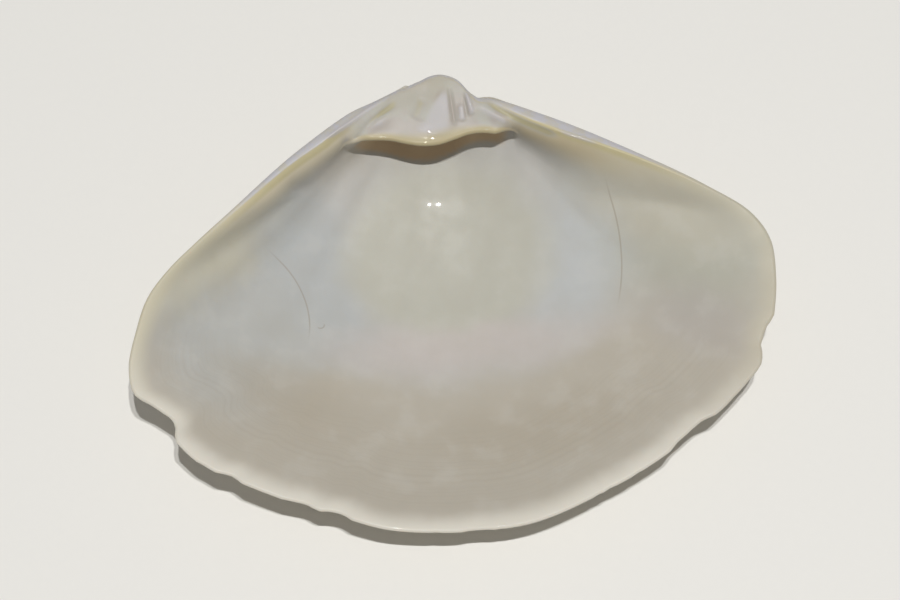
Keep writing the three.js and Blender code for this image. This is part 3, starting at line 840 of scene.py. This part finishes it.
class ClamValveSettings(bpy.types.PropertyGroup):
    wall: length_property("Wall", "Thickness of the shell near its rim", 0.8 * MM)
    tan: colour_property("Tan", "Inside, near the lower edge", "b4ada0")
    rim: colour_property("Rim", "The rounded rim", "d2cdc1")
    slope: colour_property("Slope", "Inside, along the upper slopes", "c0b292")
    crest: colour_property("Crest", "The line between slope and lip", "beb48d")
    lip: colour_property("Lip", "The rounded lip of the upper slopes", "bcbabd")
    plate: colour_property("Plate", "The hinge plate", "b0a9a1")
    plate_edge: colour_property("Plate edge", "Its free edge", "b3a785")
    groove: colour_property("Groove", "Grooves of the hinge", "a8a07e")
    outside: colour_property("Outside", "The chalky outside", "d6d0c2")


class ClamStageSettings(bpy.types.PropertyGroup):
    floor_size: length_property("Floor size", "Side of the square floor", 2.0)
    floor_colour: colour_property("Floor", "The paper of the floor", "e6e4df")
    lamp_power: bpy.props.FloatProperty(
        name="Lamp power", description="Power of each of the two small lamps", default=1.43, min=0.0,
        unit="POWER",
    )
    lamp_size: length_property("Lamp size", "Width of each lamp", 6 * MM)
    lamp_spread: length_property("Lamp spread", "Half the distance between the lamps", 14 * MM)
    lamp_aside: length_property("Lamps aside", "How far the pair stands toward the long side", 30 * MM)
    lamp_distance: length_property("Lamp distance", "From the valve to the lamps", 600 * MM)
    lamp_lean: angle_property("Lamp lean", "How far the lamps lean toward the camera", 9)
    fill_colour: colour_property("Fill colour", "Colour of the even light from all round", "f4f4f2")
    fill: bpy.props.FloatProperty(
        name="Fill", description="Strength of the even light from all round", default=0.265, min=0.0
    )
    camera_distance: length_property("Camera distance", "From the valve to the camera", 250 * MM)
    camera_height: angle_property("Camera height", "How far the camera stands above the floor's plane", 68)
    lens: bpy.props.FloatProperty(
        name="Lens", description="Focal length of the camera", default=100.0, min=1.0, unit="CAMERA"
    )


class CLAM_OT_build_valve(bpy.types.Operator):
    """Build the valve: hollow, hinge plate, rim and grown outside, in one piece"""

    bl_idname = "clam.build_valve"
    bl_label = "Build valve"

    def execute(self, context):
        settings = context.scene.clam_valve
        mesh = valve_mesh(settings.wall / MM)
        valve = bpy.data.objects.new("valve_shell", mesh)
        context.scene.collection.objects.link(valve)
        mesh.materials.append(shell_material(settings))
        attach(valve, "root")
        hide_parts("valve")
        return {"FINISHED"}


def add_floor(scene, settings):
    grid = bmesh.new()
    bmesh.ops.create_grid(grid, x_segments=1, y_segments=1, size=settings.floor_size / 2)
    bmesh.ops.translate(grid, verts=grid.verts, vec=(0, 0, -FLOOR_GAP))
    mesh = bpy.data.meshes.new("floor")
    grid.to_mesh(mesh)
    grid.free()
    floor = bpy.data.objects.new("floor", mesh)
    scene.collection.objects.link(floor)
    mesh.materials.append(floor_material(settings.floor_colour))


def add_lamps(scene, settings):
    """Two small lamps high over the hollow, whose reflections show in its floor."""
    lean = settings.lamp_lean
    for name, side in (("key_left", -1), ("key_right", 1)):
        lamp = bpy.data.lights.new(name, "AREA")
        lamp.shape = "DISK"
        lamp.size = settings.lamp_size
        lamp.energy = settings.lamp_power
        key = bpy.data.objects.new(name, lamp)
        aside = settings.lamp_aside + side * settings.lamp_spread
        key.location = VIEW_TARGET + settings.lamp_distance * Vector((0, -np.sin(lean), np.cos(lean)))
        key.location.x += aside
        key.rotation_euler = (VIEW_TARGET - key.location).to_track_quat("-Z", "Y").to_euler()
        scene.collection.objects.link(key)


def add_fill(scene, settings):
    world = bpy.data.worlds.new("studio")
    world.use_nodes = True
    background = world.node_tree.nodes["Background"]
    background.inputs["Color"].default_value = settings.fill_colour
    background.inputs["Strength"].default_value = settings.fill
    scene.world = world


def add_camera(scene, settings):
    camera_data = bpy.data.cameras.new("camera")
    camera_data.lens = settings.lens
    camera_data.sensor_width = SENSOR_WIDTH
    camera_data.clip_start = 10 * MM
    camera = bpy.data.objects.new("camera", camera_data)
    height = settings.camera_height
    camera.location = VIEW_TARGET + settings.camera_distance * Vector((0, -np.cos(height), np.sin(height)))
    camera.rotation_euler = (np.pi / 2 - height, 0, 0)
    scene.collection.objects.link(camera)
    scene.camera = camera


class CLAM_OT_build_stage(bpy.types.Operator):
    """Build the floor, the lamps and the camera"""

    bl_idname = "clam.build_stage"
    bl_label = "Build stage"

    def execute(self, context):
        scene, settings = context.scene, context.scene.clam_stage
        for add in (add_floor, add_lamps, add_fill, add_camera):
            add(scene, settings)
        scene.view_settings.view_transform = "Standard"
        return {"FINISHED"}


class CLAM_PT_panel(bpy.types.Panel):
    """The clam valve's settings and builders"""

    bl_idname = "CLAM_PT_panel"
    bl_label = "Surf clam valve"
    bl_space_type = "VIEW_3D"
    bl_region_type = "UI"
    bl_category = "Clam"

    def draw(self, context):
        for group in (context.scene.clam_valve, context.scene.clam_stage):
            for name in group.__annotations__:
                self.layout.prop(group, name)
        for operator in (CLAM_OT_build_valve, CLAM_OT_build_stage):
            self.layout.operator(operator.bl_idname)


CLASSES = (ClamValveSettings, ClamStageSettings, CLAM_OT_build_valve, CLAM_OT_build_stage, CLAM_PT_panel)


def register():
    for each in CLASSES:
        bpy.utils.register_class(each)
    bpy.types.Scene.clam_valve = bpy.props.PointerProperty(type=ClamValveSettings)
    bpy.types.Scene.clam_stage = bpy.props.PointerProperty(type=ClamStageSettings)


def unregister():
    del bpy.types.Scene.clam_valve
    del bpy.types.Scene.clam_stage
    for each in reversed(CLASSES):
        bpy.utils.unregister_class(each)


def main():
    register()
    bpy.ops.clam.build_valve()
    bpy.ops.clam.build_stage()


if __name__ == "__main__":
    main()
